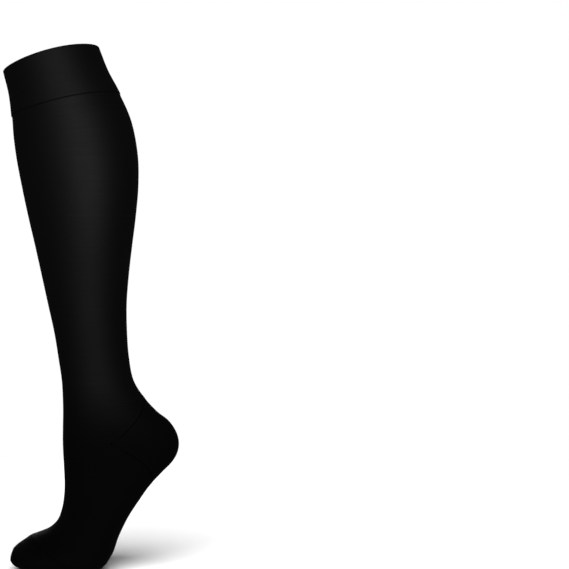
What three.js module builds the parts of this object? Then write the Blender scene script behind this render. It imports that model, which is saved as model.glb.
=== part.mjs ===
// Knee-high compression stocking in fine black knit, hollow, in the shape it has when worn with the heel
// raised. Millimetres. +Z is up, +X points from the shin to the calf and heel, and the toes point to -X.
// The origin is the middle of the cuff's mouth, and the two sides, +Y and -Y, are alike.

import * as THREE from "three";

// Cloth
const knitWall = 1.2;
const cuffWall = 2.0;
// The doubled cuff stands out over the single knit below it, and its fold is rounded
const cuffProud = 0.8;
const foldHeight = 0.7;
// Two pieces that are sewn or linked together are parted by this much
const seamGap = 0.3;

// Rings of the leg and foot, from the cuff's rim to the tip of the toes.
// Each crosses the shin or instep at its front point and the calf or sole at its back point.
// half is half its width across, widest is where that width lies, from 0 at the middle towards 1 at the back,
// fullness squares the back off above 2, and lift raises the ring's two sides.
const columns = ["frontX", "frontZ", "backX", "backZ", "half", "widest", "fullness", "lift"];
const rings = [
  [-47.9, -13.2, 47.9, 13.4, 50.2, 0.03, 2.0, 2.6],
  [-42.5, -35.5, 57.1, -9.8, 51.2, 0.04, 2.0, 2.0],
  [-39.8, -58.0, 69.4, -33.0, 52.6, 0.06, 2.0, 1.5],
  [-38.1, -80.0, 81.8, -62.0, 54.1, 0.08, 2.0, 0.6],
  [-35.0, -103.0, 88.2, -96.0, 55.4, 0.1, 2.0, 0.0],
  [-29.7, -131.0, 88.8, -128.0, 55.6, 0.12, 2.0, 0.0],
  [-23.6, -160.0, 86.2, -159.0, 53.4, 0.12, 2.0, 0.0],
  [-16.7, -190.0, 82.4, -190.0, 49.4, 0.1, 2.0, 0.0],
  [-10.1, -220.0, 79.0, -220.0, 44.4, 0.08, 2.0, 0.0],
  [-3.6, -250.0, 76.8, -250.0, 39.6, 0.05, 2.0, 0.0],
  [2.9, -280.0, 77.2, -280.0, 35.6, 0.02, 2.0, 0.0],
  [7.1, -306.0, 79.2, -306.0, 32.6, 0.0, 2.0, 0.0],
  [10.3, -328.0, 83.8, -329.0, 31.0, -0.02, 2.0, 0.0],
  [11.4, -346.0, 94.8, -347.0, 30.6, -0.08, 2.05, 0.0],
  [11.7, -361.0, 107.8, -361.5, 31.2, -0.14, 2.15, 0.0],
  [11.5, -376.0, 120.6, -372.0, 32.0, -0.18, 2.25, 0.0],
  [11.4, -391.0, 128.9, -385.5, 32.5, -0.2, 2.35, 0.0],
  [11.9, -404.0, 130.5, -399.0, 32.8, -0.2, 2.4, 0.0],
  [12.5, -416.0, 125.2, -412.2, 33.0, -0.16, 2.35, 0.0],
  [13.1, -427.0, 113.5, -424.2, 33.4, -0.1, 2.3, 0.0],
  [13.3, -438.0, 101.3, -437.0, 34.0, -0.02, 2.2, 0.0],
  [12.6, -448.5, 91.0, -451.0, 35.2, 0.0, 2.2, 0.0],
  [10.7, -460.0, 78.3, -470.0, 37.4, 0.02, 2.25, 0.0],
  [6.4, -471.6, 68.8, -489.0, 40.4, 0.05, 2.35, 0.0],
  [-1.8, -479.6, 62.0, -506.5, 43.2, 0.1, 2.5, 0.0],
  [-12.0, -483.9, 51.0, -519.2, 44.9, 0.14, 2.7, 0.0],
  [-21.0, -487.1, 32.0, -523.0, 45.4, 0.16, 2.85, 0.0],
  [-27.5, -491.5, 11.5, -523.2, 44.0, 0.14, 2.85, 0.0],
  [-32.8, -495.0, -6.5, -522.9, 40.2, 0.12, 2.75, 0.0],
  [-37.2, -499.0, -22.5, -520.6, 33.6, 0.08, 2.5, 0.0],
  [-40.0, -503.8, -35.5, -516.0, 24.0, 0.04, 2.2, 0.0],
  [-41.0, -510.2, -41.0, -510.2, 11.0, 0.0, 2.0, 0.0],
];
const lastRing = rings.length - 1;

// Places of the seams, counted in rings down the stocking
const rim = 0;
const cuffSeam = 2;
const heelTop = 13;
const heelCorner = 16.2;
const heelBottom = 20;
const toeSeam = 26;
const toeInside = lastRing - 0.35;

// The heel pocket reaches round to the ankle's two sides, where its gore lines meet
const goreAngle = THREE.MathUtils.degToRad(90);
const goreEnd = THREE.MathUtils.degToRad(89.2);

// Fineness of the walls
const sides = 40;
const cuffSteps = 5;
const legSteps = 26;
const heelSteps = 10;
const footSteps = 13;
const toeSteps = 9;

// Steps for measuring the slope of the cloth
const ringStep = 0.01;
const angleStep = 0.01;

const blackKnit = { color: 0x121213, roughness: 0.62, metalness: 0 };
const cuffKnit = { color: 0x151516, roughness: 0.7, metalness: 0 };

// A ring by its number. Above the rim the first two go on in line, and past the tip of the toes
// the rings run back with front and back exchanged, which rounds the tip.
function ringAt(number) {
  if (number < 0) {
    return rings[0].map((value, column) => 2 * value - rings[1][column]);
  }
  if (number > lastRing) {
    const [frontX, frontZ, backX, backZ, ...rest] = rings[2 * lastRing - number];
    return [backX, backZ, frontX, frontZ, ...rest];
  }
  return rings[number];
}

// The values of the ring at any place between two rows of the table, on a smooth curve through the rows
function ringValues(place) {
  const row = Math.min(Math.floor(place), lastRing - 1);
  const f = place - row;
  const [before, from, to, after] = [row - 1, row, row + 1, row + 2].map(ringAt);
  const values = {};
  columns.forEach((column, k) => {
    const slopeFrom = (to[k] - before[k]) / 2;
    const slopeTo = (after[k] - from[k]) / 2;
    const rise = to[k] - from[k];
    const bend = 3 * rise - 2 * slopeFrom - slopeTo;
    const twist = slopeFrom + slopeTo - 2 * rise;
    values[column] = from[k] + f * (slopeFrom + f * (bend + f * twist));
  });
  return values;
}

// A point on the outside of the single knit. angle runs from 0 at the back, through +Y, to pi at the front.
function knitPoint(place, angle) {
  const ring = ringValues(place);
  const across = Math.sin(angle);
  const spread = Math.abs(across) ** ring.fullness;
  const towardsBack = Math.cos(angle);
  const depth = towardsBack > 0 ? Math.max(1 - spread, 0) ** (1 / ring.fullness) : towardsBack;
  const reach = depth + ring.widest * across * across;
  return new THREE.Vector3(
    (ring.frontX + ring.backX) / 2 + (reach * (ring.backX - ring.frontX)) / 2,
    ring.half * across,
    (ring.frontZ + ring.backZ) / 2 + (reach * (ring.backZ - ring.frontZ)) / 2 + ring.lift * across * across,
  );
}

function downwards(place, angle) {
  const below = knitPoint(place + ringStep, angle);
  return below.sub(knitPoint(place - ringStep, angle)).divideScalar(2 * ringStep);
}

function around(place, angle) {
  return knitPoint(place, angle + angleStep).sub(knitPoint(place, angle - angleStep));
}

// The same point moved out of the cloth, or into it below 0
function movedOut(place, angle, distance) {
  const outwards = downwards(place, angle).cross(around(place, angle)).normalize();
  return knitPoint(place, angle).addScaledVector(outwards, distance);
}

// A place moved down the stocking by some millimetres of cloth, measured square to the ring
function lowered(place, angle, distance) {
  const alongRing = around(place, angle).normalize();
  return place + distance / downwards(place, angle).cross(alongRing).length();
}

function evenAngles(first, last, count) {
  return Array.from({ length: count }, (_, k) => first + ((last - first) * k) / (count - 1));
}

const roundAngles = evenAngles(-Math.PI, Math.PI, sides + 1).slice(0, sides);

// The seams as places that depend on the angle, because the heel pocket is let in at the back
function heelShare(angle) {
  return Math.abs(angle) < goreAngle ? Math.cos((angle / goreAngle) * (Math.PI / 2)) : 0;
}

function heelUpperEdge(angle) {
  return heelCorner + (heelTop - heelCorner) * heelShare(angle);
}

function heelLowerEdge(angle) {
  return heelCorner + (heelBottom - heelCorner) * heelShare(angle);
}

// Rows of points on one face of a piece, from its upper edge to its lower one
function faceRows(piece, distance) {
  const rows = [];
  for (let step = 0; step <= piece.steps; step += 1) {
    rows.push(
      piece.angles.map((angle) => {
        const upper = piece.upper(angle);
        const place = upper + ((piece.lower(angle) - upper) * step) / piece.steps;
        return movedOut(place, angle, distance);
      }),
    );
  }
  return rows;
}

// Each point brought to the middle between itself and the one across the toes, which closes a ring to a line
function pinched(row) {
  return row.map((point, k) => {
    const opposite = row[(3 * (sides / 2) - k) % sides];
    return point.clone().add(opposite).multiplyScalar(0.5);
  });
}

// Two triangles for a face with four corners, split along its shorter diagonal. Faces that meet at a seam
// are then split alike, and the two sides of the stocking too.
function splitFace(points, a, b, c, d) {
  const shorter = points[a].distanceTo(points[c]) <= points[b].distanceTo(points[d]);
  return shorter ? [a, b, c, a, c, d] : [a, b, d, b, c, d];
}

// Joins rows of points into a closed mesh. loops closes the last row back to the first, and
// round closes each row on itself; an open row's two ends are capped.
function meshFromRows(name, rows, look, { loops, round }) {
  const across = rows[0].length;
  const points = rows.flat();
  const positions = points.flatMap((point) => [point.x, point.y, point.z]);
  const indices = [];
  const rowCount = loops ? rows.length : rows.length - 1;
  const columnCount = round ? across : across - 1;
  for (let row = 0; row < rowCount; row += 1) {
    const here = row * across;
    const next = ((row + 1) % rows.length) * across;
    for (let column = 0; column < columnCount; column += 1) {
      const beside = (column + 1) % across;
      indices.push(...splitFace(points, here + column, next + column, next + beside, here + beside));
    }
  }
  if (!round) {
    const half = rows.length / 2;
    for (let row = 0; row < half - 1; row += 1) {
      const outer = row * across;
      const outerBelow = outer + across;
      const inner = (rows.length - 1 - row) * across;
      const innerBelow = inner - across;
      indices.push(...splitFace(points, outer, inner, innerBelow, outerBelow));
      const lastEnd = [outer, outerBelow, innerBelow, inner].map((first) => first + across - 1);
      indices.push(...splitFace(points, ...lastEnd));
    }
  }
  const geometry = new THREE.BufferGeometry();
  geometry.setAttribute("position", new THREE.Float32BufferAttribute(positions, 3));
  geometry.setIndex(indices);
  geometry.computeVertexNormals();
  const mesh = new THREE.Mesh(geometry, new THREE.MeshStandardMaterial(look));
  mesh.name = name;
  return mesh;
}

// A wall of the single knit, open at both edges
function knitPiece(name, piece) {
  const rows = [...faceRows(piece, 0), ...faceRows(piece, -knitWall).reverse()];
  return meshFromRows(name, rows, blackKnit, { loops: true, round: piece.angles === roundAngles });
}

// Cuff: two plies turned at the rim, with a rounded fold
function buildCuff() {
  const piece = {
    angles: roundAngles,
    steps: cuffSteps,
    upper: () => rim,
    lower: (angle) => lowered(cuffSeam, angle, -seamGap / 2),
  };
  const outside = faceRows(piece, cuffProud);
  const inside = faceRows(piece, cuffProud - cuffWall).reverse();
  const fold = roundAngles.map((angle) =>
    movedOut(lowered(rim, angle, -foldHeight), angle, cuffProud - cuffWall / 2),
  );
  return meshFromRows("cuff", [...outside, ...inside, fold], cuffKnit, { loops: true, round: true });
}

// Leg: one tube from the cuff to the ankle, cut away at the back for the heel pocket
function buildLeg() {
  return knitPiece("leg", {
    angles: roundAngles,
    steps: legSteps,
    upper: (angle) => lowered(cuffSeam, angle, seamGap / 2),
    lower: (angle) => lowered(heelUpperEdge(angle), angle, -seamGap / 2),
  });
}

// Heel: a pocket let in between leg and foot, full at the back and running out at the ankle's sides
function buildHeel() {
  const inner = roundAngles.filter((angle) => Math.abs(angle) < goreEnd);
  return knitPiece("heel", {
    angles: [-goreEnd, ...inner, goreEnd],
    steps: heelSteps,
    upper: (angle) => lowered(heelUpperEdge(angle), angle, seamGap / 2),
    lower: (angle) => lowered(heelLowerEdge(angle), angle, -seamGap / 2),
  });
}

// Foot: one tube from the ankle over instep and arch to the ball of the foot
function buildFoot() {
  return knitPiece("foot", {
    angles: roundAngles,
    steps: footSteps,
    upper: (angle) => lowered(heelLowerEdge(angle), angle, seamGap / 2),
    lower: (angle) => lowered(toeSeam, angle, -seamGap / 2),
  });
}

// Toe: a closed pocket whose end is drawn together in one line across the toes
function buildToe() {
  const upper = (angle) => lowered(toeSeam, angle, seamGap / 2);
  const outside = faceRows({ angles: roundAngles, steps: toeSteps, upper, lower: () => lastRing }, 0);
  const inside = faceRows({ angles: roundAngles, steps: toeSteps, upper, lower: () => toeInside }, -knitWall);
  outside.push(pinched(outside.pop()));
  inside.push(pinched(inside.pop()));
  return meshFromRows("toe", [...inside.reverse(), ...outside], blackKnit, { loops: false, round: true });
}

const stocking = new THREE.Group();
stocking.name = "compression_stocking";
stocking.add(buildCuff(), buildLeg(), buildHeel(), buildFoot(), buildToe());

export default stocking;
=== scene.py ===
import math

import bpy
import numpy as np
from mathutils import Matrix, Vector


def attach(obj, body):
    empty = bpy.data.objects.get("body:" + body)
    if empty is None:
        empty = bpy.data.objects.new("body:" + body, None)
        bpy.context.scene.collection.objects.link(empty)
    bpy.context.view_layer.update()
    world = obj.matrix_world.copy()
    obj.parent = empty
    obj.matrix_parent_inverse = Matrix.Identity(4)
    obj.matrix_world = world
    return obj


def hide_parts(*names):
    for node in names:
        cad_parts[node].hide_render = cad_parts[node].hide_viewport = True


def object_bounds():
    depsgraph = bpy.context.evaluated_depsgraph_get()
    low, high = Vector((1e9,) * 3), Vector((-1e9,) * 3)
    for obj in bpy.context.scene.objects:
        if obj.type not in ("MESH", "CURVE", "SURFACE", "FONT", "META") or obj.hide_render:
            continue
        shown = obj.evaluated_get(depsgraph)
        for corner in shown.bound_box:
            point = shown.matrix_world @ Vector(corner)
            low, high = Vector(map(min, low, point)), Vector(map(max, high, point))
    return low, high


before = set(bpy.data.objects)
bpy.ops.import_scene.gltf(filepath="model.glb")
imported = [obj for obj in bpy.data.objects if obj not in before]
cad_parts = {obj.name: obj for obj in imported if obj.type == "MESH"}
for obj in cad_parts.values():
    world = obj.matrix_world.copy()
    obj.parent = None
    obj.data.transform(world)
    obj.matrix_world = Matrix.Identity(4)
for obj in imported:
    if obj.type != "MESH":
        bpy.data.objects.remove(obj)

# Knee-high compression stocking in fine black knit, in the shape it has when worn with the heel raised.
# It is built from the cuff down: each knitted piece with its own seam, then the studio round it. The frame
# is in metres, with +Z up, +X from the shin to the calf and the toes towards -X. Sizes of the cloth are in
# millimetres, and MM turns them into metres.

MM = 0.001
cad_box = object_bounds()


# Camera
# A short telephoto at the height of the middle of the leg, square to the stocking's side. It is turned
# towards +X, so that the stocking stands at the left of the picture and the sole just passes its lower edge.
PICTURE_SIDE = 569
LENS = 85.0
SENSOR = 36.0
SQUARE_TO_COLUMN = 91
CAMERA_PLACE = (0.04016, -1.400, -0.23009)

camera_data = bpy.data.cameras.new("camera")
camera_data.lens = LENS
camera_data.sensor_width = SENSOR
camera = bpy.data.objects.new("camera", camera_data)
camera.location = CAMERA_PLACE
turn = math.atan((PICTURE_SIDE / 2 - SQUARE_TO_COLUMN) / (LENS / SENSOR * PICTURE_SIDE))
camera.rotation_euler = (math.pi / 2, 0, -turn)
bpy.context.scene.collection.objects.link(camera)
bpy.context.scene.camera = camera


# Cuff
# The top band that grips the leg below the knee. It is knitted twice as long as it shows, turned at the rim
# into two plies and linked to the leg by its raw edge, so it is thicker than the leg and stands out over it.

# Rings of the leg and foot from the cuff's rim to the tip of the toes, in millimetres. Each crosses the
# shin or instep at its front point and the calf or sole at its back point. half is half its width across,
# widest is where that width lies, from 0 at the middle towards 1 at the back, fullness squares the back
# off above 2, and lift raises the ring's two sides.
# frontX, frontZ, backX, backZ, half, widest, fullness, lift
RINGS = np.array([
    [-47.9, -13.2, 47.9, 13.4, 50.2, 0.03, 2.0, 2.6],
    [-42.5, -35.5, 57.1, -9.8, 51.2, 0.04, 2.0, 2.0],
    [-39.8, -58.0, 69.4, -33.0, 52.6, 0.06, 2.0, 1.5],
    [-38.1, -80.0, 81.8, -62.0, 54.1, 0.08, 2.0, 0.6],
    [-35.0, -103.0, 88.2, -96.0, 55.4, 0.1, 2.0, 0.0],
    [-29.7, -131.0, 88.8, -128.0, 55.6, 0.12, 2.0, 0.0],
    [-23.6, -160.0, 86.2, -159.0, 53.4, 0.12, 2.0, 0.0],
    [-16.7, -190.0, 82.4, -190.0, 49.4, 0.1, 2.0, 0.0],
    [-10.1, -220.0, 79.0, -220.0, 44.4, 0.08, 2.0, 0.0],
    [-3.6, -250.0, 76.8, -250.0, 39.6, 0.05, 2.0, 0.0],
    [2.9, -280.0, 77.2, -280.0, 35.6, 0.02, 2.0, 0.0],
    [7.1, -306.0, 79.2, -306.0, 32.6, 0.0, 2.0, 0.0],
    [10.3, -328.0, 83.8, -329.0, 31.0, -0.02, 2.0, 0.0],
    [11.4, -346.0, 94.8, -347.0, 30.6, -0.08, 2.05, 0.0],
    [11.7, -361.0, 107.8, -361.5, 31.2, -0.14, 2.15, 0.0],
    [11.5, -376.0, 120.6, -372.0, 32.0, -0.18, 2.25, 0.0],
    [11.4, -391.0, 128.9, -385.5, 32.5, -0.2, 2.35, 0.0],
    [11.9, -404.0, 130.5, -399.0, 32.8, -0.2, 2.4, 0.0],
    [12.5, -416.0, 125.2, -412.2, 33.0, -0.16, 2.35, 0.0],
    [13.1, -427.0, 113.5, -424.2, 33.4, -0.1, 2.3, 0.0],
    [13.3, -438.0, 101.3, -437.0, 34.0, -0.02, 2.2, 0.0],
    [12.6, -448.5, 91.0, -451.0, 35.2, 0.0, 2.2, 0.0],
    [10.7, -460.0, 78.3, -470.0, 37.4, 0.02, 2.25, 0.0],
    [6.4, -471.6, 68.8, -489.0, 40.4, 0.05, 2.35, 0.0],
    [-1.8, -479.6, 62.0, -506.5, 43.2, 0.1, 2.5, 0.0],
    [-12.0, -483.9, 51.0, -519.2, 44.9, 0.14, 2.7, 0.0],
    [-21.0, -487.1, 32.0, -523.0, 45.4, 0.16, 2.85, 0.0],
    [-27.5, -491.5, 11.5, -523.2, 44.0, 0.14, 2.85, 0.0],
    [-32.8, -495.0, -6.5, -522.9, 40.2, 0.12, 2.75, 0.0],
    [-37.2, -499.0, -22.5, -520.6, 33.6, 0.08, 2.5, 0.0],
    [-40.0, -503.8, -35.5, -516.0, 24.0, 0.04, 2.2, 0.0],
    [-41.0, -510.2, -41.0, -510.2, 11.0, 0.0, 2.0, 0.0],
])
LAST_RING = len(RINGS) - 1
# Above the rim the first two rings go on in line. Past the tip of the toes the rings run back with front
# and back exchanged, which rounds the tip.
ring_above = 2 * RINGS[0] - RINGS[1]
rings_past_tip = RINGS[[-2, -3]][:, [2, 3, 0, 1, 4, 5, 6, 7]]
ring_table = np.vstack([ring_above, RINGS, rings_past_tip])

# Places down the stocking are counted in rings
RIM = 0.0
CUFF_SEAM = 2.0
# Two linked pieces keep this much between them, in millimetres
SEAM_GAP = 0.3
COLUMNS = 160
round_angles = np.linspace(-math.pi, math.pi, COLUMNS, endpoint=False)


def knit_point(place, angle):
    """Points on the outside of the single knit, in millimetres. angle is 0 at the back, pi in front."""
    place, angle = np.broadcast_arrays(np.asarray(place, float), np.asarray(angle, float))
    row = np.clip(np.floor(place).astype(int), 0, LAST_RING - 1)
    part = (place - row)[..., None]
    before, start, end, after = (ring_table[row + step] for step in range(4))
    slope_in = (end - before) / 2
    slope_out = (after - start) / 2
    bend = 3 * (end - start) - 2 * slope_in - slope_out
    twist = slope_in + slope_out - 2 * (end - start)
    ring = start + part * (slope_in + part * (bend + part * twist))
    front_x, front_z, back_x, back_z, half, widest, fullness, lift = np.moveaxis(ring, -1, 0)
    across = np.sin(angle)
    to_back = np.cos(angle)
    squared_back = np.maximum(1 - np.abs(across) ** fullness, 0) ** (1 / fullness)
    reach = np.where(to_back > 0, squared_back, to_back) + widest * across**2
    x = (front_x + back_x) / 2 + reach * (back_x - front_x) / 2
    z = (front_z + back_z) / 2 + reach * (back_z - front_z) / 2 + lift * across**2
    return np.stack([x, half * across, z], axis=-1)


def cloth_point(place, angle, lower=0.0, out=0.0):
    """Points lower down the cloth than a place, and out of the single knit's face, in millimetres."""
    step = 0.01
    # At the two ends of the toe's closing line the cloth has no slope, and this stands in for its length
    least = 1e-9
    down = (knit_point(place + step, angle) - knit_point(place - step, angle)) / (2 * step)
    place = place + lower / np.maximum(np.linalg.norm(down, axis=-1), least)
    down = knit_point(place + step, angle) - knit_point(place - step, angle)
    around = knit_point(place, angle + step) - knit_point(place, angle - step)
    outwards = np.cross(down, around)
    outwards /= np.maximum(np.linalg.norm(outwards, axis=-1, keepdims=True), least)
    return knit_point(place, angle) + np.asarray(out, float)[..., None] * outwards


# The length of cloth down the stocking's side counts the courses of the knit
side_places = np.linspace(RIM, LAST_RING, 40 * LAST_RING + 1)
side_steps = np.linalg.norm(np.diff(knit_point(side_places, math.pi / 2), axis=0), axis=1)
side_lengths = np.concatenate([[0], np.cumsum(side_steps)])

# The tube is knitted on about 400 needles, so a wale is 0.9 mm wide at the calf, and a course is about
# 0.5 mm high. Both are drawn at twice that, so that the stitches show at all.
WALES = 200
COURSE = 1.0


def tube_course(place, angles):
    return np.interp(place, side_places, side_lengths) / COURSE


class KnittedPiece:
    """A piece in the making: rows of points across the knit, and faces that know their wales and courses."""

    def __init__(self, course_at=tube_course):
        self.course_at = course_at
        self.points = []
        self.courses = []
        self.faces = []
        self.wales = []

    def row(self, place, lower=0.0, out=0.0, angles=round_angles):
        """Adds a row of points across the knit and returns their numbers."""
        place, lower, out = (np.broadcast_to(value, angles.shape) for value in (place, lower, out))
        courses = self.course_at(place, angles) + lower / COURSE
        first = len(self.points)
        self.points.extend(cloth_point(place, angles, lower, out) * MM)
        self.courses.extend(courses)
        return np.arange(first, first + len(angles))

    def join(self, upper, lower, columns=range(COLUMNS), first_wale=0.0):
        """Fills in between two rows. The faces look out where lower follows upper on the outside."""
        for column in columns:
            beside = (column + 1) % len(upper)
            self.faces.append((upper[column], lower[column], lower[beside], upper[beside]))
            here = first_wale + column * WALES / COLUMNS
            there = here + WALES / COLUMNS
            self.wales.extend((here, here, there, there))

    def close(self, rows, columns=range(COLUMNS), first_wale=0.0):
        """Joins rows that run down the outside and back up the inside into one wall."""
        for upper, lower in zip(rows, rows[1:] + rows[:1]):
            self.join(upper, lower, columns, first_wale)

    def finish(self, name, material):
        """Makes the mesh object, with a UV map that counts wales across and courses down."""
        used, numbers = np.unique(np.ravel(self.faces), return_inverse=True)
        points = np.array(self.points)[used]
        courses = np.array(self.courses)[used]
        mesh = bpy.data.meshes.new(name)
        mesh.from_pydata(points.tolist(), [], numbers.reshape(-1, 4).tolist())
        corners = np.column_stack([self.wales, -courses[numbers.ravel()]])
        mesh.uv_layers.new(name="knit").data.foreach_set("uv", corners.ravel())
        mesh.shade_smooth()
        mesh.materials.append(material)
        piece = bpy.data.objects.new(name, mesh)
        bpy.context.scene.collection.objects.link(piece)
        return piece


def add_node(tree, kind, values=None, links=None, **settings):
    """Adds a node with its settings, its inputs' values and the outputs that feed its inputs."""
    node = tree.nodes.new(kind)
    for name, setting in settings.items():
        setattr(node, name, setting)
    for socket, value in (values or {}).items():
        node.inputs[socket].default_value = value
    for socket, output in (links or {}).items():
        tree.links.new(output, node.inputs[socket])
    return node


def linear(hex_colour):
    """An sRGB hex colour as the linear RGBA that a shader takes."""
    channels = [int(hex_colour[k:k + 2], 16) / 255 for k in (1, 3, 5)]
    return [c / 12.92 if c <= 0.04045 else ((c + 0.055) / 1.055) ** 2.4 for c in channels] + [1.0]


def flat_knit(name, painted_gap_shade, yarn, roughness, stitch_relief):
    """Flat weft knit of dyed polyamide over elastane. Each stitch is a small V of two legs, and the Vs stand
    in faint ribs down the leg. The gaps between the legs are painted darker, as shade. The yarn is matt, so
    light lies on it in one broad soft band."""
    material = bpy.data.materials.new(name)
    material.use_nodes = True
    tree = material.node_tree
    shader = tree.nodes["Principled BSDF"]

    # Stitches, from the wales and courses of the UV map: to_side is 0 on a wale's middle and 0.5 at its edge
    knit = add_node(tree, "ShaderNodeUVMap", uv_map="knit")
    split = add_node(tree, "ShaderNodeSeparateXYZ", links={0: knit.outputs[0]})
    wale, course = split.outputs[0], split.outputs[1]
    in_wale = add_node(tree, "ShaderNodeMath", links={0: wale}, operation="FRACT")
    off_middle = add_node(tree, "ShaderNodeMath", {1: 0.5}, {0: in_wale.outputs[0]}, operation="SUBTRACT")
    to_side = add_node(tree, "ShaderNodeMath", links={0: off_middle.outputs[0]}, operation="ABSOLUTE")
    half_turn = add_node(
        tree, "ShaderNodeMath", {1: 2 * math.pi}, {0: to_side.outputs[0]}, operation="MULTIPLY"
    )
    leg_height = add_node(tree, "ShaderNodeMath", links={0: half_turn.outputs[0]}, operation="SINE")
    slanted = add_node(tree, "ShaderNodeMath", links={0: to_side.outputs[0], 1: course}, operation="ADD")
    full_turn = add_node(
        tree, "ShaderNodeMath", {1: 2 * math.pi}, {0: slanted.outputs[0]}, operation="MULTIPLY"
    )
    loop_wave = add_node(tree, "ShaderNodeMath", links={0: full_turn.outputs[0]}, operation="COSINE")
    loop_dip = 0.32
    loop_height = add_node(
        tree, "ShaderNodeMath", {1: loop_dip, 2: 1 - loop_dip}, {0: loop_wave.outputs[0]},
        operation="MULTIPLY_ADD",
    )
    stitch = add_node(
        tree, "ShaderNodeMath", links={0: leg_height.outputs[0], 1: loop_height.outputs[0]},
        operation="MULTIPLY",
    )

    # Uneven yarn: some courses take the dye a little darker, and the cloth is faintly cloudy
    courses_per_band = 3
    band = add_node(tree, "ShaderNodeMath", {1: 1 / courses_per_band}, {0: course}, operation="MULTIPLY")
    bands = add_node(
        tree, "ShaderNodeTexNoise", {"Scale": 1.0, "Detail": 1.0}, {"W": band.outputs[0]},
        noise_dimensions="1D",
    )
    place = add_node(tree, "ShaderNodeTexCoord")
    cloud_size = 14 * MM
    clouds = add_node(
        tree, "ShaderNodeTexNoise", {"Scale": 1 / cloud_size, "Detail": 3.0},
        {"Vector": place.outputs["Object"]},
    )
    uneven = add_node(
        tree, "ShaderNodeMath", links={0: bands.outputs[0], 1: clouds.outputs[0]}, operation="MULTIPLY"
    )
    # The colour mixes the uneven dye with painted shade: darker in the gaps between the stitches' legs,
    # where the stitch is low
    gap_shade_share = 0.55
    gap_shade_and_dye = add_node(
        tree, "ShaderNodeMath", {1: gap_shade_share}, {0: stitch.outputs[0], 2: uneven.outputs[0]},
        operation="MULTIPLY_ADD", use_clamp=True,
    )
    colour = add_node(
        tree, "ShaderNodeMixRGB", {1: linear(painted_gap_shade), 2: linear(yarn)}, {0: gap_shade_and_dye.outputs[0]}
    )
    spread = 0.04
    gloss = add_node(
        tree, "ShaderNodeMapRange", {"To Min": roughness + spread, "To Max": roughness - spread},
        {"Value": uneven.outputs[0]},
    )
    relief = add_node(
        tree, "ShaderNodeBump", {"Distance": stitch_relief * MM}, {"Height": stitch.outputs[0]}
    )
    tree.links.new(colour.outputs[0], shader.inputs["Base Color"])
    tree.links.new(gloss.outputs["Result"], shader.inputs["Roughness"])
    tree.links.new(relief.outputs["Normal"], shader.inputs["Normal"])
    # Polyamide's IOR, with its gloss held down by the gaps between the yarns
    shader.inputs["IOR"].default_value = 1.53
    shader.inputs["Specular IOR Level"].default_value = 0.4
    return material


# The doubled knit is a little looser, so its stitches stand up more and it looks duller than the leg
doubled_knit = flat_knit("doubled_black_polyamide_knit", "#0e0e0f", "#18181a", 0.60, 0.07)

CUFF_PROUD = 0.8
CUFF_WALL = 2.0
CUFF_ROWS = 20
LIP = 0.2
CORNER_STEPS = 6
fold = CUFF_WALL / 2

cuff = KnittedPiece()
cuff_rows = []
# The outer ply, from the rim down to its rounded lip over the seam
for share in np.linspace(0, 1, CUFF_ROWS):
    cuff_rows.append(cuff.row(CUFF_SEAM * share, -(SEAM_GAP / 2 + LIP) * share, CUFF_PROUD))
for turned in np.linspace(0, math.pi / 2, CORNER_STEPS)[1:]:
    above_seam = SEAM_GAP / 2 + LIP * (1 - math.sin(turned))
    cuff_rows.append(cuff.row(CUFF_SEAM, -above_seam, CUFF_PROUD - LIP * (1 - math.cos(turned))))
# The inner ply, back up to the rim
for share in np.linspace(1, 0, CUFF_ROWS):
    cuff_rows.append(cuff.row(CUFF_SEAM * share, -SEAM_GAP / 2 * share, CUFF_PROUD - CUFF_WALL))
# The turn at the rim, a half circle over both plies
for turned in np.linspace(math.pi, 0, 2 * CORNER_STEPS)[1:-1]:
    cuff_rows.append(cuff.row(RIM, -fold * math.sin(turned), CUFF_PROUD - fold + fold * math.cos(turned)))
cuff.close(cuff_rows)
cuff_piece = cuff.finish("turned_cuff", doubled_knit)
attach(cuff_piece, "root")
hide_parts("cuff")


# Leg and foot
# One tube, knitted round with no seam from under the cuff over calf, ankle and instep to the ball of the
# foot. At the back of the ankle it leaves an eye-shaped opening, where the heel pocket is let in.
KNIT_WALL = 1.0
HEEL_TOP = 13.0
HEEL_CORNER = 16.2
HEEL_BOTTOM = 20.0
TOE_SEAM = 26.0
LEG_ROWS = 150
FOOT_ROWS = 62
LEG_LINING_ROWS = 60
FOOT_LINING_ROWS = 30

# Distances of rows from a knitted edge. There the cloth turns in towards its seam and swells beside it. An
# edge is narrowed where two seams run together, to this share of the cloth between them.
EDGE_STEPS = (0.0, 0.2, 0.45, 0.75, 1.1, 1.8)
EDGE_WIDTH = 2.8
EDGE_SHARE = 0.45
TURN_DEPTH = 0.1
TURN_WIDTH = 0.4
SWELL_HEIGHT = 0.12
SWELL_PLACE = 1.8
SWELL_WIDTH = 0.9


def turned_edge(distance):
    """How far the cloth's face stands out at a distance from its edge."""
    turned_in = TURN_DEPTH * max(1 - distance / TURN_WIDTH, 0) ** 2
    swelling = SWELL_HEIGHT * math.exp(-(((distance - SWELL_PLACE) / SWELL_WIDTH) ** 2))
    return swelling - turned_in


def heel_edge(top_or_bottom, angle):
    """The heel pocket's upper or lower edge. The two run together at the ankle's two sides."""
    return HEEL_CORNER + (top_or_bottom - HEEL_CORNER) * np.maximum(np.cos(angle), 0)


def opened(angle):
    """From 0 at the corners of the heel opening, and in front of them, to 1 well inside it."""
    steepness = 6
    return np.clip(steepness * np.cos(angle), 0, 1)


def cloth_length(upper, lower, angle, samples=40):
    """The length of cloth from one place down to another at each angle, in millimetres."""
    places = upper + (lower - upper) * np.linspace(0, 1, samples)[:, None]
    steps = np.diff(knit_point(places, angle), axis=0)
    return np.linalg.norm(steps, axis=2).sum(axis=0)


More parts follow.
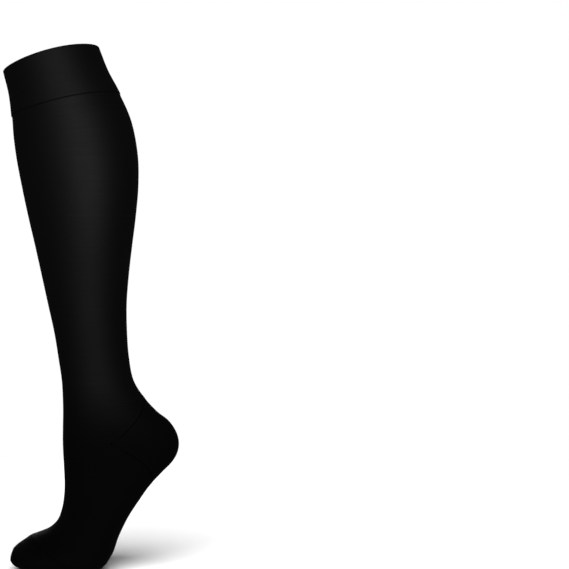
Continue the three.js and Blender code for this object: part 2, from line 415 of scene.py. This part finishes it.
def outer_rows(
    piece, upper, lower, count, upper_seam=1.0, lower_seam=1.0, angles=round_angles, last_edge=True
):
    """Rows on the outside between two edges, with more of them where the cloth turns in at a seam.
    A seam is 1 where the piece ends in one, and 0 where the knit runs on. The toe's tip is no such edge."""
    upper, lower = np.broadcast_to(upper, angles.shape), np.broadcast_to(lower, angles.shape)
    narrowed = np.minimum(1, EDGE_SHARE * cloth_length(upper, lower, angles) / EDGE_WIDTH)
    rows = []
    for step in EDGE_STEPS:
        from_edge = SEAM_GAP / 2 * upper_seam + step * narrowed
        rows.append(piece.row(upper, from_edge, turned_edge(step) * narrowed * upper_seam, angles))
    for share in np.linspace(0, 1, count):
        from_upper = (SEAM_GAP / 2 * upper_seam + EDGE_WIDTH * narrowed) * (1 - share)
        from_lower = (SEAM_GAP / 2 * lower_seam + EDGE_WIDTH * narrowed * last_edge) * share
        rows.append(piece.row(upper + (lower - upper) * share, from_upper - from_lower, 0.0, angles))
    for step in reversed(EDGE_STEPS if last_edge else ()):
        from_edge = SEAM_GAP / 2 * lower_seam + step * narrowed
        rows.append(piece.row(lower, -from_edge, turned_edge(step) * narrowed * lower_seam, angles))
    return rows


def inner_rows(piece, upper, lower, count, upper_seam=1.0, lower_seam=1.0, angles=round_angles):
    """Rows on the inside, from the lower edge back up to the upper one."""
    rows = []
    for share in np.linspace(1, 0, count):
        lowered = SEAM_GAP / 2 * (upper_seam * (1 - share) - lower_seam * share)
        rows.append(piece.row(upper + (lower - upper) * share, lowered, -KNIT_WALL, angles))
    return rows


# The single knit: smoother than the cuff, with its courses closer
fine_knit = flat_knit("fine_black_polyamide_knit", "#0c0c0d", "#161617", 0.58, 0.06)

tube = KnittedPiece()
heel_top_edge = heel_edge(HEEL_TOP, round_angles)
heel_bottom_edge = heel_edge(HEEL_BOTTOM, round_angles)
heel_seam = opened(round_angles)
leg_outside = outer_rows(tube, CUFF_SEAM, heel_top_edge, LEG_ROWS, 1.0, heel_seam)
leg_inside = inner_rows(tube, CUFF_SEAM, heel_top_edge, LEG_LINING_ROWS, 1.0, heel_seam)
foot_outside = outer_rows(tube, heel_bottom_edge, TOE_SEAM, FOOT_ROWS, heel_seam, 1.0)
foot_inside = inner_rows(tube, heel_bottom_edge, TOE_SEAM, FOOT_LINING_ROWS, heel_seam, 1.0)

# In front of the heel opening the leg runs straight on into the foot, so both share one row of points there
rounding = 1e-6
front = np.cos(round_angles) < rounding
foot_outside[0][front] = leg_outside[-1][front]
foot_inside[-1][front] = leg_inside[0][front]
opening_columns = np.flatnonzero(~(front & np.roll(front, -1)))
for rows in (leg_outside, leg_inside, foot_outside, foot_inside):
    for upper, lower in zip(rows, rows[1:]):
        tube.join(upper, lower)
tube.join(leg_inside[-1], leg_outside[0])
tube.join(foot_outside[-1], foot_inside[0])
tube.join(leg_outside[-1], leg_inside[0], opening_columns)
tube.join(foot_inside[-1], foot_outside[0], opening_columns)
tube_piece = tube.finish("leg_and_foot_tube", fine_knit)
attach(tube_piece, "root")
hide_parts("leg", "foot")
# Relaxed, the tube is narrower than when it is worn. A row for each length of it, from the cuff's seam to
# the toe: its length, and its girth at the upper and at the lower end, in metres
RELAXED_TUBE = [
    (0.085, 0.262, 0.286),
    (0.200, 0.286, 0.162),
    (0.050, 0.162, 0.178),
    (0.110, 0.190, 0.178),
]
heel_opening_area = 0.0062
relaxed_area = sum(length * (upper + lower) / 2 for length, upper, lower in RELAXED_TUBE)
relaxed_area -= heel_opening_area


# Heel
# A pocket knitted to and fro on the back half of the needles, first narrower and then wider again, which
# makes it full over the heel. It is linked to leg and foot along both edges, up to the ankle's two sides.
GORE_END = math.radians(89.0)
HEEL_COLUMNS = 80
HEEL_ROWS = 60

heel_angles = np.linspace(-GORE_END, GORE_END, HEEL_COLUMNS + 1)
heel_wale = WALES * (math.pi - GORE_END) / (2 * math.pi)


def heel_course(place, angles):
    """The pocket's courses are counted along each wale, up and down from the line between its corners."""
    return np.sign(place - HEEL_CORNER) * cloth_length(HEEL_CORNER, place, angles) / COURSE


heel = KnittedPiece(heel_course)
heel_edges = heel_edge(HEEL_TOP, heel_angles), heel_edge(HEEL_BOTTOM, heel_angles)
pocket_seam = opened(heel_angles)
heel_outside = outer_rows(heel, *heel_edges, HEEL_ROWS, pocket_seam, pocket_seam, heel_angles)
heel_inside = inner_rows(heel, *heel_edges, len(heel_outside), pocket_seam, pocket_seam, heel_angles)
heel.close(heel_outside + heel_inside, range(HEEL_COLUMNS), heel_wale)
# Both ends of the pocket are closed between its outside and its inside
heel_lining = heel_inside[::-1]
for row in range(len(heel_outside) - 1):
    outer, outer_below = heel_outside[row], heel_outside[row + 1]
    inner, inner_below = heel_lining[row], heel_lining[row + 1]
    heel.faces.append((outer[0], inner[0], inner_below[0], outer_below[0]))
    heel.faces.append((outer[-1], outer_below[-1], inner_below[-1], inner[-1]))
    heel.wales.extend([heel_wale] * 8)
heel_piece = heel.finish("heel_pocket", fine_knit)
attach(heel_piece, "root")
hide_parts("heel")


# Toe
# A closed pocket over the toes, knitted round on the same needles as the foot. Its end is drawn together in
# one line, a flat seam across the top of the toes.
TOE_ROWS = 34
TOE_LINING_ROWS = 18
TOE_LINING_END = LAST_RING - 0.35

toe = KnittedPiece()
opposite = (3 * COLUMNS // 2 - np.arange(COLUMNS)) % COLUMNS


def drawn_together(piece, row):
    """A round row as one line across: each point meets the one opposite, halfway between the two."""
    for number, other in zip(row, row[opposite]):
        middle = (piece.points[number] + piece.points[other]) / 2
        piece.points[number] = piece.points[other] = middle
    return np.minimum(row, row[opposite])


toe_outside = outer_rows(toe, TOE_SEAM, LAST_RING, TOE_ROWS, 1.0, 0.0, last_edge=False)
toe_inside = inner_rows(toe, TOE_SEAM, TOE_LINING_END, TOE_LINING_ROWS, 1.0, 0.0)
toe_outside[-1] = drawn_together(toe, toe_outside[-1])
toe_inside[0] = drawn_together(toe, toe_inside[0])
toe_rows = toe_inside + toe_outside
for upper, lower in zip(toe_rows, toe_rows[1:]):
    toe.join(upper, lower)
toe_piece = toe.finish("toe_pocket", fine_knit)
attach(toe_piece, "root")
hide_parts("toe")


# Linking threads
# The cuff's raw edge and the heel pocket's edges are joined stitch by stitch with a texturised polyamide
# thread, and the toe is closed with a flat linked seam of the same thread. Each stitch is a small bridge.
THREAD_RADIUS = 0.17
THREAD_SIDES = 6
BRIDGE_POINTS = 7
BRIDGE_ARCH = 0.16
SLANT = math.radians(0.9)


def bulked_thread(name):
    """Crimped polyamide thread: open and matt, with fine short furrows along its twist. Its colour is
    painted lighter than the knit's, which lifts the shade in a seam's groove, so a seam shows as a line that
    is only a little darker than the knit beside it."""
    material = bpy.data.materials.new(name)
    material.use_nodes = True
    tree = material.node_tree
    shader = tree.nodes["Principled BSDF"]
    place = add_node(tree, "ShaderNodeTexCoord")
    furrow_size = 0.35 * MM
    furrows = add_node(
        tree, "ShaderNodeTexNoise", {"Scale": 1 / furrow_size, "Detail": 2.0},
        {"Vector": place.outputs["Object"]},
    )
    # Painted light: the thread is lighter than the knit, to lift the shade in the seam's groove
    colour = add_node(
        tree, "ShaderNodeMixRGB", {1: linear("#1a1a1b"), 2: linear("#262627")}, {0: furrows.outputs[0]}
    )
    relief = add_node(tree, "ShaderNodeBump", {"Distance": 0.05 * MM}, {"Height": furrows.outputs[0]})
    tree.links.new(colour.outputs[0], shader.inputs["Base Color"])
    tree.links.new(relief.outputs["Normal"], shader.inputs["Normal"])
    shader.inputs["Roughness"].default_value = 0.7
    shader.inputs["IOR"].default_value = 1.53
    shader.inputs["Specular IOR Level"].default_value = 0.1
    return material


thread_look = bulked_thread("black_bulked_polyamide_thread")


def thread_piece(name, centres, outwards, radius, slot_name, endless=False):
    """Round threads as one mesh. centres holds each thread's points, and outwards the cloth's normals. An
    endless thread closes on itself, and any other has two flat ends."""
    if endless:
        along = np.roll(centres, -1, axis=1) - np.roll(centres, 1, axis=1)
    else:
        along = np.gradient(centres, axis=1)
    along /= np.linalg.norm(along, axis=2, keepdims=True)
    beside = np.cross(along, outwards)
    beside /= np.linalg.norm(beside, axis=2, keepdims=True)
    above = np.cross(beside, along)
    turns = np.linspace(0, 2 * math.pi, THREAD_SIDES, endpoint=False)[:, None]
    rings = centres[:, :, None] + radius * (
        np.cos(turns) * above[:, :, None] + np.sin(turns) * beside[:, :, None]
    )
    threads, steps = centres.shape[:2]
    numbers = np.arange(threads * steps * THREAD_SIDES).reshape(threads, steps, THREAD_SIDES)
    faces = []
    for thread in numbers:
        for ring, following in zip(thread, np.roll(thread, -1, axis=0) if endless else thread[1:]):
            for side in range(THREAD_SIDES):
                beside_it = (side + 1) % THREAD_SIDES
                faces.append((ring[side], ring[beside_it], following[beside_it], following[side]))
        if not endless:
            faces.append(tuple(thread[0][::-1]))
            faces.append(tuple(thread[-1]))
    mesh = bpy.data.meshes.new(name)
    mesh.from_pydata((rings.reshape(-1, 3) * MM).tolist(), [], [tuple(map(int, face)) for face in faces])
    mesh.shade_smooth()
    mesh.materials.append(thread_look)
    piece = bpy.data.objects.new(name, mesh)
    bpy.context.scene.collection.objects.link(piece)
    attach(piece, "root")
    return piece


def bridges(place, angles, reach, heights):
    """Centres and normals of stitches that bridge a seam, in millimetres. reach is how far the two ends lie
    from the seam, above and below it, and heights is how far they lie out of the single knit's face."""
    share = np.linspace(0, 1, BRIDGE_POINTS)
    lower = -reach[0] + (reach[0] + reach[1]) * share
    arch = BRIDGE_ARCH * np.sin(math.pi * share)
    out = heights[0] + (heights[1] - heights[0]) * share + arch
    slanted = np.asarray(angles)[:, None] + SLANT * share
    places = np.broadcast_to(np.asarray(place, float), np.shape(angles))[:, None] + 0 * share
    centres = cloth_point(places, slanted, lower, out)
    return centres, cloth_point(places, slanted, lower, out + 1) - centres


def laid_thread(place, angles, lower, out):
    """Centres and normals of one thread that lies along a seam, in millimetres."""
    places = np.full((1, len(angles)), float(place))
    outs = np.full_like(places, out)
    centres = cloth_point(places, angles, lower, outs)
    return centres, cloth_point(places, angles, lower, outs + 1) - centres


# The cuff is linked with one stitch to each needle, and the chain of its loops fills the seam
NEEDLES = 2 * WALES
cuff_angles = np.linspace(-math.pi, math.pi, NEEDLES, endpoint=False)
cuff_stitches = bridges(CUFF_SEAM, cuff_angles, reach=(1.1, 1.2), heights=(0.68, -0.12))
thread_piece("cuff_linking", *cuff_stitches, THREAD_RADIUS, "cuff_knit")
CHAIN_RADIUS = 0.36
CHAIN_POINTS = 240
chain_angles = np.linspace(-math.pi, math.pi, CHAIN_POINTS, endpoint=False)
chain = laid_thread(CUFF_SEAM, chain_angles, lower=0.05, out=0.50)
thread_piece("cuff_linking_chain", *chain, CHAIN_RADIUS, "cuff_knit", endless=True)

# The heel pocket's two gore lines, stopped short of the corners where they run together
GORE_STITCHES = 88
gore_angles = np.radians(np.linspace(-80, 80, GORE_STITCHES))
for edge_name, edge_place in (("upper", HEEL_TOP), ("lower", HEEL_BOTTOM)):
    edge = heel_edge(edge_place, gore_angles)
    stitches = bridges(edge, gore_angles, reach=(1.2, 1.2), heights=(-0.12, -0.12))
    thread_piece(f"heel_{edge_name}_linking", *stitches, THREAD_RADIUS, "fine_knit")

# The toe's closing seam, counted in rings too, with the ridge of cloth and thread that it lies on
TOE_LINKING = 29.3
LINKING_STITCHES = 44
linking_angles = np.radians(np.linspace(104, 256, LINKING_STITCHES))
toe_stitches = bridges(TOE_LINKING, linking_angles, reach=(0.9, 0.9), heights=(0.0, 0.0))
thread_piece("toe_linking_stitches", *toe_stitches, THREAD_RADIUS, "fine_knit")
RIDGE_RADIUS = 0.26
RIDGE_POINTS = 90
ridge_angles = np.radians(np.linspace(100, 260, RIDGE_POINTS))
ridge = laid_thread(TOE_LINKING, ridge_angles, lower=0.0, out=0.02)
thread_piece("toe_linking_ridge", *ridge, RIDGE_RADIUS, "fine_knit")


# Studio
# A matt white floor under the ball of the foot, and large soft lights. One is in front at the height of the
# calf, one is behind, and one is overhead for the floor alone, so that the black cloth stays deep.
FLOOR_RADIUS = 0.9
FLOOR_CORNERS = 96
floor_mesh = bpy.data.meshes.new("floor")
rim_turns = np.linspace(0, 2 * math.pi, FLOOR_CORNERS, endpoint=False)
floor_height = cad_box[0][2]
floor_points = [
    (FLOOR_RADIUS * math.cos(t), FLOOR_RADIUS * math.sin(t), floor_height) for t in rim_turns
]
floor_mesh.from_pydata(floor_points, [], [tuple(range(len(floor_points)))])
floor = bpy.data.objects.new("floor", floor_mesh)
floor_paint = bpy.data.materials.new("matt_white_floor_paint")
floor_paint.use_nodes = True
floor_shader = floor_paint.node_tree.nodes["Principled BSDF"]
floor_shader.inputs["Base Color"].default_value = linear("#f4f4f4")
floor_shader.inputs["Roughness"].default_value = 0.9
floor_shader.inputs["Specular IOR Level"].default_value = 0.0
floor_mesh.materials.append(floor_paint)
# A black cloth photographed on white is lit apart from its ground, so the floor throws no light back
floor.visible_diffuse = False
floor.visible_glossy = False

floor_only = bpy.data.collections.new("floor_only")
floor_only.objects.link(floor)
bpy.context.scene.collection.children.link(floor_only)
stocking_only = bpy.data.collections.new("stocking_only")
for piece in (cuff_piece, tube_piece, heel_piece, toe_piece):
    stocking_only.objects.link(piece)


def softbox(name, place, aim, size, power, beam):
    """A soft light of width and height size, whose egg-crate grid keeps its light within beam degrees."""
    lamp = bpy.data.lights.new(name, "AREA")
    lamp.shape = "RECTANGLE"
    lamp.size, lamp.size_y = size
    lamp.energy = power
    lamp.spread = math.radians(beam)
    light = bpy.data.objects.new(name, lamp)
    light.location = place
    towards = np.subtract(aim, place)
    turn_z = math.atan2(-towards[0], towards[1])
    tilt = math.atan2(towards[2], math.hypot(towards[0], towards[1]))
    light.rotation_euler = (math.pi / 2 + tilt, 0, turn_z)
    bpy.context.scene.collection.objects.link(light)
    return light


softbox(
    "front_softbox", place=(0.05, -0.98, -0.02), aim=(0.03, 0.0, -0.12), size=(0.30, 0.45), power=0.205,
    beam=50,
)
softbox(
    "back_softbox", place=(0.02, 1.1, -0.10), aim=(0.02, 0.0, -0.15), size=(0.30, 0.60), power=0.18,
    beam=50,
)

# A dark card in front of the foot keeps the front light off it, below the ankle. It throws a little light of
# its own on the foot, where white paper would throw 1.
CARD_GLOW = 0.07
CARD_TOP = -0.314
CARD_BOTTOM = CARD_TOP - 0.30
CARD_LEFT = -0.4
CARD_RIGHT = 0.5
CARD_AWAY = -0.20
card_corners = [
    (CARD_LEFT, CARD_AWAY, CARD_BOTTOM),
    (CARD_RIGHT, CARD_AWAY, CARD_BOTTOM),
    (CARD_RIGHT, CARD_AWAY, CARD_TOP),
    (CARD_LEFT, CARD_AWAY, CARD_TOP),
]
card_mesh = bpy.data.meshes.new("dark_card")
card_mesh.from_pydata(card_corners, [], [(0, 1, 2, 3)])
card_board = bpy.data.materials.new("matt_dark_card")
card_board.use_nodes = True
card_shader = card_board.node_tree.nodes["Principled BSDF"]
card_shader.inputs["Base Color"].default_value = linear("#000000")
card_shader.inputs["Specular IOR Level"].default_value = 0.0
card_shader.inputs["Emission Color"].default_value = linear("#ffffff")
card_shader.inputs["Emission Strength"].default_value = CARD_GLOW
card_mesh.materials.append(card_board)
card = bpy.data.objects.new("dark_card", card_mesh)
bpy.context.scene.collection.objects.link(card)
card.visible_camera = False

# The overhead light is tilted to come from the front, and only the stocking throws its shadow
overhead = bpy.data.lights.new("overhead", "SUN")
overhead.energy = 5.2
overhead.angle = math.radians(60)
overhead_light = bpy.data.objects.new("overhead", overhead)
overhead_light.rotation_euler = (math.radians(36), math.radians(-4), 0)
bpy.context.scene.collection.objects.link(overhead_light)
overhead_light.light_linking.receiver_collection = floor_only
overhead_light.light_linking.blocker_collection = stocking_only

world = bpy.data.worlds.new("white_studio")
world.use_nodes = True
bpy.context.scene.world = world
tree = world.node_tree
seen = add_node(tree, "ShaderNodeLightPath")
walls = tree.nodes["Background"]
# The walls look white, but light the stocking with only this much
SEEN_WHITE = 1.0
FILL = 0.03
brightness = add_node(
    tree, "ShaderNodeMapRange", {"To Min": FILL, "To Max": SEEN_WHITE},
    {"Value": seen.outputs["Is Camera Ray"]},
)
walls.inputs["Color"].default_value = linear("#ffffff")
tree.links.new(brightness.outputs["Result"], walls.inputs["Strength"])
bpy.context.scene.view_settings.view_transform = "Standard"
